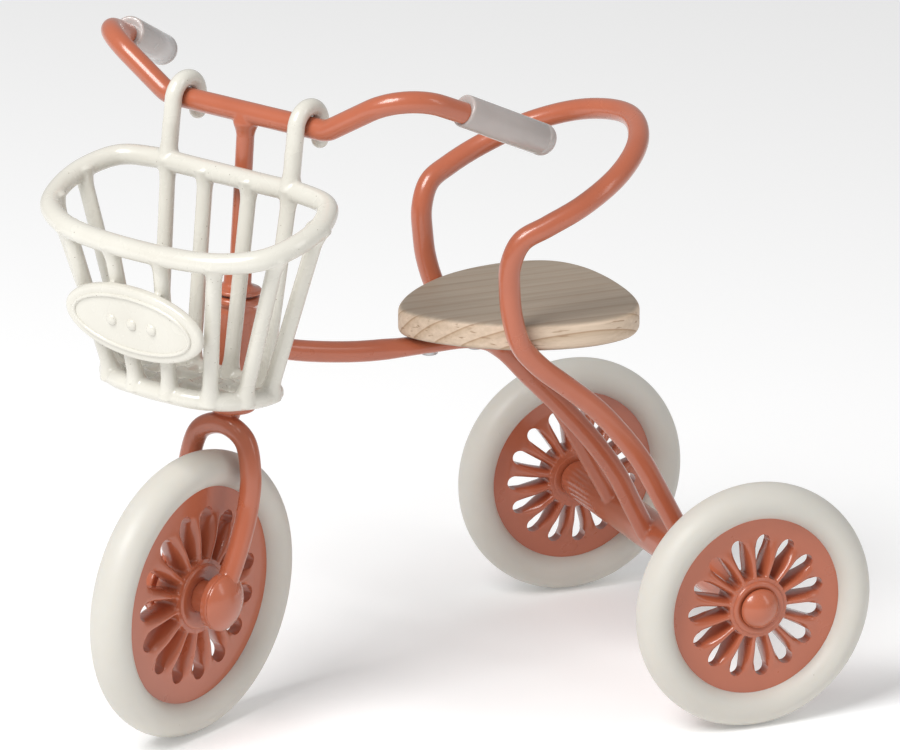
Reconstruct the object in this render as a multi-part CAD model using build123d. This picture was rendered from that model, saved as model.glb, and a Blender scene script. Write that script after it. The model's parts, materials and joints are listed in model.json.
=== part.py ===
from build123d import *
from math import cos, radians, sin, sqrt, tan
import os

# A small steel ride-on tricycle: bent-rod frame, wooden seat, wire-style basket.
# Millimetres. +X is forward, +Y is the rider's left, +Z is up.

# ---- driving dimensions ----
ROD = 3.0                   # solid rod of the frame, fork and handlebar
ROD_R = ROD / 2
STEM_R = 1.25               # thinner rod that turns in the head tube
FIT = 0.06                  # radial clearance where one part turns on another
HAIR = 0.01                 # hairline between pieces that are welded or pressed together
SIDE_GAP = 0.2              # end clearance beside a turning wheel

REAR_R = 17.5               # rear wheel, over the tyre
FRONT_R = 20.25             # front wheel, over the tyre
TYRE_DEEP = 2.5             # half height of the tyre section
TYRE_HALF = 3.0             # half width of the tyre section
DISC_T = 1.8                # thickness of the pressed wheel disc
SLOTS = 15                  # teardrop slots in each disc
AXLE_R = 1.0
HALF_TRACK = 30.7           # wheel plane to centre plane
HOUSING_R = 2.8             # rear axle housing
CAP_R = 2.8                 # domed cap on the rear axle

WHEELBASE = 66.7            # rear axle to steering axis, at axle height
RAKE = 3.8                  # steering axis leans back by this many degrees
TRAIL = 6.4                 # front axle ahead of the steering axis
TURN = 30.4                 # the fork is turned to the rider's left at rest

EYE_IN = 4.2                # inner face of the fork eyes
EYE_OUT = 5.4
FORK_CAP_R = 4.0            # wide domed cap on the front axle
CAP_BORE = 1.0              # the front axle's ends go this deep into the caps

HEAD_R = 2.95               # head tube
HEAD_LOW = 26.9             # lower end of the head tube, along the steering axis
HEAD_HIGH = 41.6
BAR_HIGH = 67.1             # handlebar height along the steering axis
GRIP_R = 2.25

SEAT_TOP = 56.2
SEAT_T = 3.9
SEAT_BACK = 6.5             # rear edge of the seat
SEAT_FRONT = 39.8
TAB_T = 2.4                 # flattened rod under the seat
SCREW_X = (28.5, 35.5)

HOOK_R = 1.2                # rods of the basket
RIM_R = 1.45
BAR_R = 1.15
FLOOR_HIGH = 31.4           # basket floor, along the steering axis
RIM_HIGH = 59.0             # basket rim at the back
RIM_DROP = 0.344            # the rim falls this much for each unit forward
HOOK_Y = 10.5               # hooks left and right of centre


# ---- helpers ----
def rod(points, bends, radius):
    """A round rod along straight lines with a bend radius at each inner point."""
    points = [Vector(*p) for p in points]
    edges = []
    start = points[0]
    for i, bend in enumerate(bends, start=1):
        corner = points[i]
        back = (points[i - 1] - corner).normalized()
        ahead = (points[i + 1] - corner).normalized()
        half = radians(back.get_angle(ahead)) / 2
        reach = bend / tan(half)
        middle = (back + ahead).normalized() * (bend / sin(half) - bend)
        arc_start = corner + back * reach
        arc_end = corner + ahead * reach
        edges.append(Edge.make_line(start, arc_start))
        edges.append(Edge.make_three_point_arc(arc_start, corner + middle, arc_end))
        start = arc_end
    edges.append(Edge.make_line(start, points[-1]))
    return along(Wire(edges), radius)


def along(path, radius):
    """A round bar swept along a path."""
    section = Plane(origin=path @ 0, z_dir=path % 0) * Circle(radius)
    return sweep(section, path=path)


def ring(points, radius):
    """A closed round bar through the given points."""
    return along(Spline(*points, periodic=True), radius)


def mirrored(points):
    """The same points on the other side of the centre plane, in reverse order."""
    return [(x, -y, z) for x, y, z in reversed(points)]


def cylinder_y(radius, y0, y1, x=0.0, z=0.0):
    """A cylinder along Y between two stations."""
    low = min(y0, y1)
    base = Plane(origin=(x, low, z), x_dir=(1, 0, 0), z_dir=(0, 1, 0))
    return extrude(base * Circle(radius), amount=abs(y1 - y0))


def tube_z(outer, inner, z0, z1):
    """A tube along Z between two heights."""
    base = Plane.XY.offset(z0)
    return extrude(base * (Circle(outer) - Circle(inner)), amount=z1 - z0)


def single(shape):
    """The one solid in a shape."""
    solids = shape.solids()
    return max(solids, key=lambda s: s.volume)


# ---- steering frame: z runs up the steering axis, x forward, y left ----
def steering_plane():
    rake = radians(RAKE)
    turn = radians(TURN)
    up = Vector(-sin(rake), 0, cos(rake))
    ahead = Vector(cos(rake), 0, sin(rake)) * cos(turn) + Vector(0, 1, 0) * sin(turn)
    side_z = up.cross(ahead).Z
    level = sqrt(1 - side_z ** 2)
    centre = FRONT_R - TYRE_DEEP
    reach = sqrt((TYRE_DEEP * level) ** 2 + (TYRE_HALF * side_z) ** 2)
    height = centre * level + reach - TRAIL * ahead.Z
    foot = Vector(WHEELBASE, 0, height)
    return Plane(origin=foot, x_dir=ahead, z_dir=up)


# ---- wheels: built round the Z axis, outer face up ----
def slot_cutter(inner, outer, small, large):
    """A teardrop between two radii, narrow towards the hub."""
    ends = Pos(inner + small, 0) * Circle(small) + Pos(outer - large, 0) * Circle(large)
    outline = make_hull(ends.edges())
    return extrude(outline, amount=DISC_T, both=True)


def disc_edge(radius):
    """Outer radius of the disc, a little way into the tyre."""
    return radius - 2 * TYRE_DEEP + 1.4


def wheel_disc(radius, hub_out, hub_in, boss_r):
    """A pressed disc with drawn slots and a bored hub."""
    edge = disc_edge(radius)
    seen = radius - 4.8
    half = DISC_T / 2
    disc = extrude(Circle(edge), amount=half, both=True)
    slot = slot_cutter(seen * 0.36, seen * 0.81, seen * 0.028, seen * 0.084)
    slots = [Rot(0, 0, 360 / SLOTS * i) * slot for i in range(SLOTS)]
    disc = disc - slots
    ring_r = seen * 0.3
    collar = extrude(Circle(ring_r), amount=half + 0.7, both=True)
    collar = fillet(collar.edges().filter_by(GeomType.CIRCLE), 0.5)
    boss = Pos(0, 0, -hub_in) * extrude(Circle(boss_r), amount=hub_in + hub_out)
    bore = Pos(0, 0, -hub_in - 1) * extrude(Circle(AXLE_R + FIT), amount=hub_in + hub_out + 2)
    return single(disc + collar + boss - bore)


def tyre(radius):
    """A soft ring of nearly round section, grooved for the disc."""
    section = Plane.XZ * Pos(radius - TYRE_DEEP, 0) * Ellipse(TYRE_DEEP, TYRE_HALF)
    groove = extrude(Circle(disc_edge(radius) + HAIR), amount=DISC_T / 2 + HAIR, both=True)
    return single(revolve(section, axis=Axis.Z) - groove)


def domed_cap(radius, skirt, height, bore_r, bore_deep):
    """A cap with a shallow dome, open underneath for its pin."""
    sphere_r = (radius ** 2 + height ** 2) / (2 * height)
    ball = Pos(0, 0, skirt + height - sphere_r) * Sphere(sphere_r)
    column = extrude(Circle(radius), amount=skirt + height)
    bore = extrude(Circle(bore_r), amount=bore_deep)
    return single((column & ball) - bore)


def facing(side, y, x=0.0, z=0.0):
    """Places a part built along +Z so that it points outwards along Y."""
    return Plane(origin=(x, side * y, z), x_dir=(1, 0, 0), z_dir=(0, side, 0)).location


# ---- frame ----
def head_tube(steer):
    tube = tube_z(HEAD_R, STEM_R + FIT, HEAD_LOW, HEAD_HIGH)
    beads = []
    for z in (HEAD_LOW + 0.55, HEAD_HIGH - 0.55):
        beads.append(Pos(0, 0, z) * Torus(HEAD_R - 0.1, 0.55))
    tube = tube + beads
    return steer.location * single(tube)


def backbone(steer):
    """Rod from the head tube, flattened below the seat, then down to the axle."""
    tab_z = SEAT_TOP - SEAT_T - TAB_T / 2
    front = [(WHEELBASE - 4.2, 0, 54.0), (54.0, 0, 51.9), (47.0, 0, 50.5), (38.5, 0, tab_z - 0.2)]
    stay = [(25.5, 0, tab_z - 0.3), (20.3, 0, 44.2), (15.0, 0, 38.6), (10.0, 0, 32.6)]
    stay = stay + [(6.6, 0, 27.6), (4.2, 0, 22.8), (2.0, 0, REAR_R)]
    spine = along(Spline(*front, tangents=[(-1, 0, -0.25), (-1, 0, 0)]), ROD_R)
    drop = along(Spline(*stay, tangents=[(-0.8, 0, -0.6), (-0.35, 0, -1)]), ROD_R)
    tab = Pos(32.0, 0, tab_z) * Box(15.0, 4.6, TAB_T)
    tab = fillet(tab.edges().filter_by(Axis.X), 1.0)
    tab = fillet(tab.edges().group_by(Axis.X)[0] + tab.edges().group_by(Axis.X)[-1], 0.5)
    whole = spine + tab + drop
    whole = whole - Pos(32.0, 0, SEAT_TOP - SEAT_T + 5 - HAIR) * Box(30, 10, 10)
    axle_room = cylinder_y(HOUSING_R + HAIR, -20, 20, z=REAR_R)
    head_room = steer.location * extrude(Plane.XY.offset(20) * Circle(HEAD_R + HAIR), amount=30)
    for x in SCREW_X:
        whole = whole - Pos(x, 0, tab_z - 3) * extrude(Circle(0.75), amount=6)
    return single(whole - axle_room - head_room)


def hoop():
    """One bent rod: up from the axle, round behind the seat and down again."""
    lean = radians(26)
    start = HOUSING_R + 2 * HAIR
    leg = [(start * sin(lean), 13.4, REAR_R + start * cos(lean)), (4.2, 13.6, 24.9)]
    leg = leg + [(6.7, 13.7, 29.6), (9.4, 13.9, 34.4), (12.7, 14.0, 38.8), (16.3, 14.1, 42.8)]
    side = [(20.6, 14.2, 46.5), (25.2, 14.4, 50.3), (28.0, 14.6, 53.6), (29.5, 14.9, 58.0)]
    side = side + [(30.0, 15.1, 62.0), (30.0, 15.4, 65.6), (28.6, 16.0, 69.0), (25.2, 16.8, 70.9)]
    arm = [(20.0, 17.0, 73.3), (13.6, 14.8, 76.4), (8.0, 8.9, 79.1)]
    half = leg + side + arm
    ends = [(sin(lean), 0.02, cos(lean)), (-sin(lean), 0.02, -cos(lean))]
    path = Spline(*half, (5.4, 0, 80.3), *mirrored(half), tangents=ends)
    return single(along(path, ROD_R))


def axle_housing():
    reach = HALF_TRACK - 2.5 - SIDE_GAP
    tube = cylinder_y(HOUSING_R, -reach, reach, z=REAR_R)
    tube = fillet(tube.edges(), 0.35)
    return single(tube - cylinder_y(AXLE_R + HAIR, -reach - 1, reach + 1, z=REAR_R))


def seat_outline():
    side = [(38.7, 3.2), (35.7, 7.2), (31.7, 10.7), (26.7, 13.7), (21.1, 15.3), (15.6, 15.4)]
    side = side + [(10.7, 13.6), (7.8, 9.4)]
    right = [(x, -y) for x, y in reversed(side)]
    loop = [(SEAT_FRONT, 0)] + side + [(SEAT_BACK, 0)] + right
    return make_face(Spline(*loop, periodic=True))


def seat():
    board = extrude(Plane.XY.offset(SEAT_TOP - SEAT_T) * seat_outline(), amount=SEAT_T)
    board = fillet(board.edges().group_by(Axis.Z)[-1], 1.0)
    board = fillet(board.edges().group_by(Axis.Z)[0], 0.9)
    for x in SCREW_X:
        board = board - Pos(x, 0, SEAT_TOP - SEAT_T) * extrude(Circle(0.5 + HAIR), amount=2.6)
    return single(board)


def seat_screws():
    """Two small round-head screws up through the tab."""
    under = SEAT_TOP - SEAT_T - TAB_T
    screws = []
    for x in SCREW_X:
        shank = Pos(x, 0, under - HAIR) * extrude(Circle(0.5), amount=TAB_T + 2.5)
        head = Pos(x, 0, under - HAIR) * extrude(Circle(1.3), amount=-0.7)
        head = fillet(head.edges().group_by(Axis.Z)[0], 0.4)
        screws.append(single(shank + head))
    return screws


def rear_axle():
    reach = HALF_TRACK + 3.3
    return cylinder_y(AXLE_R, -reach, reach, z=REAR_R)


# ---- steering parts, in the steering frame ----
def stem():
    """Rod through the head tube, shouldered by the two flanges."""
    low = Pos(0, 0, 24.0) * extrude(Circle(STEM_R), amount=BAR_HIGH - 24.0)
    return single(low - fork_rod(HAIR) - bar_rod(HAIR))


def bar_rod(extra=0.0):
    """Straight in the middle, then up, out and sharply back on each side."""
    half = [(0, 13.6, BAR_HIGH), (0, 26.2, BAR_HIGH + 7.6), (-22.6, 32.7, BAR_HIGH - 0.9)]
    return rod(mirrored(half) + half, [7.0, 4.0, 4.0, 7.0], ROD_R + extra)


def grip(side):
    """A soft sleeve with a closed, rounded end."""
    start = Vector(-9.9, side * 28.75, 71.35)
    end = Vector(-24.3, side * 33.35, 65.4)
    direction = end - start
    length = direction.length
    body = extrude(Circle(GRIP_R), amount=length)
    body = fillet(body.edges().group_by(Axis.Z)[-1], 1.7)
    body = fillet(body.edges().group_by(Axis.Z)[0], 0.35)
    frame = Plane(origin=start, z_dir=direction)
    return single(frame.location * body - bar_rod(HAIR))


def upper_flange():
    """Flanged ferrule on the stem, just above the head tube."""
    z0 = HEAD_HIGH + 0.25
    flange = tube_z(3.45, STEM_R + HAIR, z0, z0 + 1.3)
    collar = tube_z(1.9, STEM_R + HAIR, z0 + 1.3, z0 + 4.0)
    flange = fillet(flange.edges().group_by(Axis.Z)[-1].sort_by(Edge.length)[-1], 0.4)
    return single(flange + collar)


def crown_flange():
    z1 = HEAD_LOW - 0.25
    flange = tube_z(3.4, STEM_R + HAIR, z1 - 1.5, z1)
    flange = fillet(flange.edges().group_by(Axis.Z)[-1].sort_by(Edge.length)[-1], 0.4)
    return single(flange - fork_rod(HAIR))


def fork_rod(extra=0.0):
    side = [(1.7, 5.3, 17.5), (1.8, 5.3, 13.0), (3.2, 5.25, 8.0), (5.0, 5.0, 3.4)]
    top = [(1.45, 0, 23.4), (1.55, 3.8, 21.9)]
    half = top[1:] + side
    path = Spline(*mirrored(half), top[0], *half)
    return along(path, ROD_R + extra)


def fork():
    """Upturned U of rod with a flattened eye at each end."""
    body = fork_rod()
    for side in (1, -1):
        eye = cylinder_y(FORK_CAP_R, side * EYE_IN, side * EYE_OUT, x=TRAIL)
        body = body + eye
        body = body - cylinder_y(FORK_CAP_R + 0.05, side * EYE_OUT, side * 9.0, x=TRAIL)
        body = body - cylinder_y(FORK_CAP_R + 0.05, side * 2.0, side * EYE_IN, x=TRAIL)
    return single(body - cylinder_y(AXLE_R + HAIR, -9, 9, x=TRAIL))


def front_axle():
    reach = EYE_OUT + CAP_BORE
    return cylinder_y(AXLE_R, -reach, reach, x=TRAIL)


# ---- basket, in the steering frame ----
def rim_height(x):
    return RIM_HIGH - RIM_DROP * (x - 3.0)


def rim_loop(extra=0.0):
    """Rounded D, wide at the sides, falling towards the front."""
    side = [(3.4, 6.0), (3.5, 13.2), (4.8, 17.9), (9.0, 20.2), (14.0, 20.2), (18.6, 18.2)]
    side = side + [(21.6, 13.4), (22.9, 6.6)]
    half = [(x, y, rim_height(x)) for x, y in side]
    return ring(half + mirrored(half), RIM_R + extra)


def floor_loop(extra=0.0):
    side = [(4.8, 4.2), (4.8, 9.3), (6.0, 11.8), (9.8, 12.2), (14.2, 10.4), (16.7, 6.8), (17.4, 2.4)]
    half = [(x, y, FLOOR_HIGH) for x, y in side]
    return ring(half + mirrored(half), BAR_R + 0.15 + extra)


def hooks(rim):
    """Two crooks that stand on the rim and go over the handlebar."""
    wrap = ROD_R + FIT + HOOK_R
    crooks = []
    for side in (1, -1):
        y = side * HOOK_Y
        shoulder = (wrap, y, BAR_HIGH)
        back = (-wrap, y, BAR_HIGH)
        rise = Edge.make_line((wrap, y, RIM_HIGH), shoulder)
        bend = Edge.make_three_point_arc(shoulder, (0, y, BAR_HIGH + wrap), back)
        tail = Edge.make_line(back, (-wrap, y, BAR_HIGH - 2.2))
        crooks.append(single(along(Wire([rise, bend, tail]), HOOK_R) - rim))
    return crooks


def straight_bars(tops, feet, rim, floor):
    bars = []
    for top, foot in zip(tops, feet):
        for side in (1, -1):
            a = Vector(foot[0], side * foot[1], FLOOR_HIGH)
            b = Vector(top[0], side * top[1], rim_height(top[0]))
            bar = extrude(Plane(origin=a, z_dir=b - a) * Circle(BAR_R), amount=(b - a).length)
            bars.append(single(bar - rim - floor))
    return bars


def floor_bars(floor):
    """Crossed bars that close the bottom of the basket."""
    bars = []
    for y in (-6.0, -2.0, 2.0, 6.0):
        bars.append(Pos(11.0, y, FLOOR_HIGH) * Box(11.6 if abs(y) < 4 else 10.4, 1.7, 1.6))
    cross = [Pos(x, 0, FLOOR_HIGH) * Box(1.7, 22.6 if x < 12 else 20.0, 1.6) for x in (8.9, 13.0)]
    lattice = bars[0] + bars[1:] + cross
    return single(lattice - floor)


def badge():
    """Plain oval plate across the front bars."""
    lean = Vector(22.9 - 17.3, 0, rim_height(22.9) - FLOOR_HIGH).normalized()
    outward = Vector(lean.Z, 0, -lean.X)
    centre = Vector(20.2, 0, 42.3) + outward * 1.3
    frame = Plane(origin=centre, x_dir=(0, 1, 0), z_dir=outward)
    plate = frame * extrude(Ellipse(11.6, 5.4), amount=1.5)
    edges = plate.edges().filter_by(GeomType.ELLIPSE).sort_by(Axis.X)
    plate = fillet(edges, 0.6)
    return single(plate)


# ---- assembly ----
def build():
    steer = steering_plane()
    put = steer.location
    nodes = {}
    nodes["head_tube"] = [head_tube(steer)]
    nodes["backbone"] = [backbone(steer)]
    nodes["backrest_hoop"] = [hoop()]
    nodes["axle_housing"] = [axle_housing()]
    nodes["rear_axle"] = [rear_axle()]
    nodes["seat"] = [seat()]
    nodes["seat_screws"] = seat_screws()

    for name, side in (("left", 1), ("right", -1)):
        place = facing(side, HALF_TRACK, z=REAR_R)
        disc = wheel_disc(REAR_R, 1.8, 2.5, 2.2)
        nodes[name + "_disc"] = [place * disc]
        nodes[name + "_tyre"] = [place * tyre(REAR_R)]
        cap_at = facing(side, HALF_TRACK + 1.8 + SIDE_GAP, z=REAR_R)
        nodes[name + "_axle_cap"] = [cap_at * domed_cap(CAP_R, 0.8, 1.6, AXLE_R, 1.3)]

    nodes["stem"] = [put * stem()]
    nodes["handlebar"] = [put * single(bar_rod())]
    nodes["upper_flange"] = [put * upper_flange()]
    nodes["crown_flange"] = [put * crown_flange()]
    nodes["fork"] = [put * fork()]
    nodes["front_axle"] = [put * front_axle()]
    for name, side in (("left", 1), ("right", -1)):
        nodes[name + "_grip"] = [put * grip(side)]
        cap = facing(side, EYE_OUT, x=TRAIL) * domed_cap(FORK_CAP_R, 0.4, 1.5, AXLE_R, CAP_BORE)
        nodes[name + "_fork_cap"] = [put * cap]

    hub_half = EYE_IN - SIDE_GAP
    front_disc = wheel_disc(FRONT_R, hub_half, hub_half, 2.3)
    place = put * facing(1, 0, x=TRAIL)
    nodes["front_disc"] = [place * front_disc]
    nodes["front_tyre"] = [place * tyre(FRONT_R)]

    rim = rim_loop(HAIR)
    floor = floor_loop(HAIR)
    front = straight_bars([(21.8, 12.6), (22.9, 4.2)], [(15.8, 8.4), (17.3, 2.8)], rim, floor)
    sides = straight_bars([(9.6, 20.3), (16.8, 19.2)], [(7.6, 12.1), (12.2, 11.4)], rim, floor)
    backs = straight_bars([(3.2, HOOK_Y), (3.4, 3.8)], [(4.8, 9.0), (4.8, 3.2)], rim, floor)
    nodes["basket_rim"] = [put * single(rim_loop())]
    nodes["basket_floor_ring"] = [put * single(floor_loop())]
    nodes["basket_floor_lattice"] = [put * floor_bars(floor)]
    nodes["basket_hooks"] = [put * b for b in hooks(rim)]
    nodes["basket_front_bars"] = [put * b for b in front]
    nodes["basket_side_bars"] = [put * b for b in sides]
    nodes["basket_back_bars"] = [put * b for b in backs]
    nodes["basket_badge"] = [put * badge()]
    return nodes


def centred(nodes):
    """Moves everything so the origin is below the middle of the whole part."""
    everything = Compound([s for solids in nodes.values() for s in solids])
    box = everything.bounding_box()
    shift = Pos(-(box.min.X + box.max.X) / 2, -(box.min.Y + box.max.Y) / 2, -box.min.Z)
    print("shift", shift.position, "size", box.size)
    return {name: [shift * s for s in solids] for name, solids in nodes.items()}


if __name__ == "__main__":
    os.makedirs("parts", exist_ok=True)
    for name, solids in centred(build()).items():
        shape = solids[0] if len(solids) == 1 else Compound(solids)
        export_step(shape, "parts/" + name + ".step")
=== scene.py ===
import json
from math import asin, cos, pi, radians, sin, sqrt, tan

import bmesh
import bpy
from mathutils import Matrix, Vector


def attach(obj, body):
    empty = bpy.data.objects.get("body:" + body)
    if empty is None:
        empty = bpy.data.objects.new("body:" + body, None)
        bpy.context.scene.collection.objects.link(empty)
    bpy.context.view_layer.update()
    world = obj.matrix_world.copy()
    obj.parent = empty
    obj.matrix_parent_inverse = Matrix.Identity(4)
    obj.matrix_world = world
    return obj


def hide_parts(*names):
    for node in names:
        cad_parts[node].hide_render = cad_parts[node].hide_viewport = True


# Looks of the toy tricycle: painted steel rods, cast cream basket, soft tyres, beech seat.
# Local sizes are in millimetres and become metres in rear_point and steer_point.

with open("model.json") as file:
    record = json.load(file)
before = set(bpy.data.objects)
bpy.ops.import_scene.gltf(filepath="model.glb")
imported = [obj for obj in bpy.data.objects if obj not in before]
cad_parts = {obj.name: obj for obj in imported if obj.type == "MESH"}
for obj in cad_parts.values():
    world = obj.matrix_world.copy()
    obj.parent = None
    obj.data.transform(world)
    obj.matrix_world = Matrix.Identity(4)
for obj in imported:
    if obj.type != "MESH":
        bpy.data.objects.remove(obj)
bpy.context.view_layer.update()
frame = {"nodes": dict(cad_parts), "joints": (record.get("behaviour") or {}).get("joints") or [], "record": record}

# ---- driving dimensions, millimetres ----
MM = 0.001
ROD_R = 1.5
STEM_R = 1.25
FIT = 0.06
REAR_R = 17.5
FRONT_R = 20.25
TYRE_DEEP = 2.5
TYRE_HALF = 3.0
HALF_TRACK = 30.7
HOUSING_R = 2.8
WHEELBASE = 66.7
TRAIL = 6.4
SLOTS = 15
HEAD_LOW = 26.9
HEAD_HIGH = 41.6
HEAD_R = 2.95
BAR_HIGH = 67.1
GRIP_R = 2.25
SEAT_TOP = 56.2
SEAT_T = 3.9
HOOK_R = 1.2
RIM_R = 1.45
BAR_R = 1.15
FLOOR_HIGH = 31.4
RIM_HIGH = 59.0
RIM_DROP = 0.344
HOOK_Y = 10.5

# wheel discs
DISC_BORDER = 4.8            # from the tyre's outside to the edge of the disc that shows
DISC_TUCK = 3.7              # from the tyre's outside to the disc's edge inside the tyre
SLOT_IN = 0.34               # slot ends, hub and slot roundings are shares of the disc that shows
SLOT_OUT = 0.815
SLOT_ROUND = 0.082
SLOT_POINT = 0.028
HUB_SHARE = 0.3
DISC_HALF = 0.9              # half thickness of the flat border
HUB_BORE = 1.1

# front fork eyes and caps
EYE_IN = 4.2
EYE_OUT = 5.4
FORK_CAP_R = 4.0
AXLE_CAP_R = 2.8
CAP_SKIRT = 0.4
CAP_RISE = 1.5

# oval badge
BADGE_HALF = (11.6, 5.4)
BADGE_THICK = 1.45
BADGE_LINE = (9.9, 4.0)      # half sizes of the raised oval line
BADGE_LINE_R = 0.28
STUD_GAP = 3.4

# camera
CAMERA_PLACE = (366.71, 775.60, 317.24)
CAMERA_YAW = -113.322
CAMERA_PITCH = -17.822
CAMERA_LENS = 255.58

# light
WORLD_STRENGTH = 0.42
KEY_POWER = 6.2
STRIP_POWER = 0.5
FLOOR_GLOW = 0.14


# ---- the two working frames ----
def joint(name):
    return next(j for j in frame["joints"] if j["name"] == name)


UP = Vector(joint("steer")["axis"]).normalized()
SIDE = Vector(joint("front_spin")["axis"]).normalized()
AHEAD = SIDE.cross(UP).normalized()
FOOT = Vector(joint("front_spin")["pos_m"]) - AHEAD * TRAIL * MM
REAR = Vector(joint("left_rear_spin")["pos_m"]) - Vector((0, HALF_TRACK, REAR_R)) * MM


def rear_point(x, y, z):
    """A point given from the floor below the middle of the rear axle."""
    return REAR + Vector((x, y, z)) * MM


def steer_point(x, y, z):
    """A point given in the steering frame: ahead, to the left, up the steering axis."""
    return FOOT + (AHEAD * x + SIDE * y + UP * z) * MM


def axes_matrix(origin, x_axis, z_axis):
    """Placement with the given local X and Z directions."""
    z_axis = z_axis.normalized()
    y_axis = z_axis.cross(x_axis).normalized()
    x_axis = y_axis.cross(z_axis)
    turn = Matrix((x_axis, y_axis, z_axis)).transposed().to_4x4()
    return Matrix.Translation(origin) @ turn


# ---- mesh helpers ----
def new_object(name, mesh):
    obj = bpy.data.objects.new(name, mesh)
    bpy.context.scene.collection.objects.link(obj)
    return obj


def mesh_object(name, points, faces):
    mesh = bpy.data.meshes.new(name)
    mesh.from_pydata([tuple(p) for p in points], [], faces)
    mesh.validate()
    obj = new_object(name, mesh)
    recalculate(obj)
    return obj


def recalculate(obj):
    work = bmesh.new()
    work.from_mesh(obj.data)
    bmesh.ops.remove_doubles(work, verts=work.verts, dist=1e-7)
    bmesh.ops.recalc_face_normals(work, faces=work.faces)
    work.to_mesh(obj.data)
    work.free()
    for polygon in obj.data.polygons:
        polygon.use_smooth = True


def apply_modifiers(obj):
    graph = bpy.context.evaluated_depsgraph_get()
    final = bpy.data.meshes.new_from_object(obj.evaluated_get(graph))
    obj.modifiers.clear()
    obj.data = final
    for polygon in obj.data.polygons:
        polygon.use_smooth = True


def curve_through(points, closed=False, steps=10):
    """Dense points on a smooth curve through the given ones."""
    count = len(points)
    out = []
    for i in range(count if closed else count - 1):
        if closed:
            a, b, c, d = (points[(i + k - 1) % count] for k in range(4))
        else:
            b, c = points[i], points[i + 1]
            a = points[i - 1] if i > 0 else b * 2 - c
            d = points[i + 2] if i + 2 < count else c * 2 - b
        knots = [0.0]
        for p, q in ((a, b), (b, c), (c, d)):
            knots.append(knots[-1] + max((q - p).length, 1e-9) ** 0.5)
        for k in range(steps):
            t = knots[1] + (knots[2] - knots[1]) * k / steps
            out.append(barry_goldman((a, b, c, d), knots, t))
    if not closed:
        out.append(points[-1].copy())
    return out


def barry_goldman(points, knots, t):
    """One point of a centripetal curve, from three rounds of blending between knots."""
    level = list(points)
    for spans in (((0, 1), (1, 2), (2, 3)), ((0, 2), (1, 3)), ((1, 2),)):
        blended = []
        for i, (first, last) in enumerate(spans):
            share = (t - knots[first]) / (knots[last] - knots[first])
            blended.append(level[i] * (1 - share) + level[i + 1] * share)
        level = blended
    return level[0]


def rounded_path(points, bends, steps=10):
    """Straight runs joined by arcs, as dense points."""
    out = [points[0]]
    for i, bend in enumerate(bends, start=1):
        corner = points[i]
        back = (points[i - 1] - corner).normalized()
        ahead = (points[i + 1] - corner).normalized()
        half = back.angle(ahead) / 2
        start = corner + back * bend / tan(half)
        centre = corner + (back + ahead).normalized() * bend / sin(half)
        arm = start - centre
        axis = arm.cross(corner + ahead * bend / tan(half) - centre)
        sweep = pi - 2 * half
        for k in range(steps + 1):
            out.append(centre + Matrix.Rotation(sweep * k / steps, 3, axis) @ arm)
    out.append(points[-1])
    return out


def spread(points, gap):
    """The same line with points no further apart than gap."""
    out = []
    for a, b in zip(points, points[1:]):
        parts = max(1, int((b - a).length / gap) + 1)
        out += [a.lerp(b, k / parts) for k in range(parts)]
    out.append(points[-1])
    return out


def tube(name, points, radius, closed=False, sides=28, wide=None):
    """A round bar along points. wide(point) may give (sideways, up) half sizes in metres."""
    count = len(points)
    rings = []
    normal = None
    for i in range(count):
        if closed:
            tangent = points[(i + 1) % count] - points[i - 1]
        else:
            tangent = points[min(i + 1, count - 1)] - points[max(i - 1, 0)]
        tangent.normalize()
        if normal is None or wide:
            seed = Vector((0, 0, 1)) if abs(tangent.z) < 0.95 else Vector((1, 0, 0))
            normal = (seed - tangent * seed.dot(tangent)).normalized()
        else:
            normal = (normal - tangent * normal.dot(tangent)).normalized()
        across = tangent.cross(normal)
        rings.append((points[i], tangent, normal, across))
    if not closed:
        rings = dome_rings(rings[0], radius, -1)[::-1] + rings + dome_rings(rings[-1], radius, 1)
    verts = []
    for i, entry in enumerate(rings):
        centre, tangent, normal, across = entry[:4]
        scale = entry[4] if len(entry) > 4 else 1.0
        half_across, half_up = wide(centre) if wide else (radius, radius)
        for k in range(sides):
            angle = 2 * pi * k / sides
            offset = across * cos(angle) * half_across + normal * sin(angle) * half_up
            verts.append(centre + offset * scale)
    faces = []
    total = len(rings)
    for i in range(total if closed else total - 1):
        j = (i + 1) % total
        for k in range(sides):
            m = (k + 1) % sides
            faces.append((i * sides + k, j * sides + k, j * sides + m, i * sides + m))
    if not closed:
        faces.append(tuple(range(sides))[::-1])
        faces.append(tuple((total - 1) * sides + k for k in range(sides)))
    return mesh_object(name, verts, faces)


def dome_rings(ring, radius, way, steps=4):
    centre, tangent, normal, across = ring
    out = []
    for k in range(1, steps + 1):
        angle = pi / 2 * k / (steps + 0.3)
        out.append((centre + tangent * way * radius * sin(angle), tangent, normal, across, cos(angle)))
    return out


def lathe(name, profile, place, sides=72):
    """A turned shape. profile is (radius, height) from one end of the axis to the other, in millimetres."""
    verts = []
    for radius, height in profile:
        for k in range(sides):
            angle = 2 * pi * k / sides
            verts.append(place @ Vector((radius * cos(angle), radius * sin(angle), height)))
    faces = []
    for i in range(len(profile) - 1):
        for k in range(sides):
            m = (k + 1) % sides
            faces.append((i * sides + k, i * sides + m, (i + 1) * sides + m, (i + 1) * sides + k))
    closed = profile[0] == profile[-1]
    if not closed:
        faces.append(tuple(range(sides))[::-1])
        faces.append(tuple((len(profile) - 1) * sides + k for k in range(sides)))
    return mesh_object(name, verts, faces)


def arc_profile(centre_r, centre_h, radius, start, end, steps=6):
    """Points on a quarter or so of a circle, for rounding a turned profile."""
    out = []
    for k in range(steps + 1):
        angle = radians(start + (end - start) * k / steps)
        out.append((centre_r + radius * cos(angle), centre_h + radius * sin(angle)))
    return out


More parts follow.
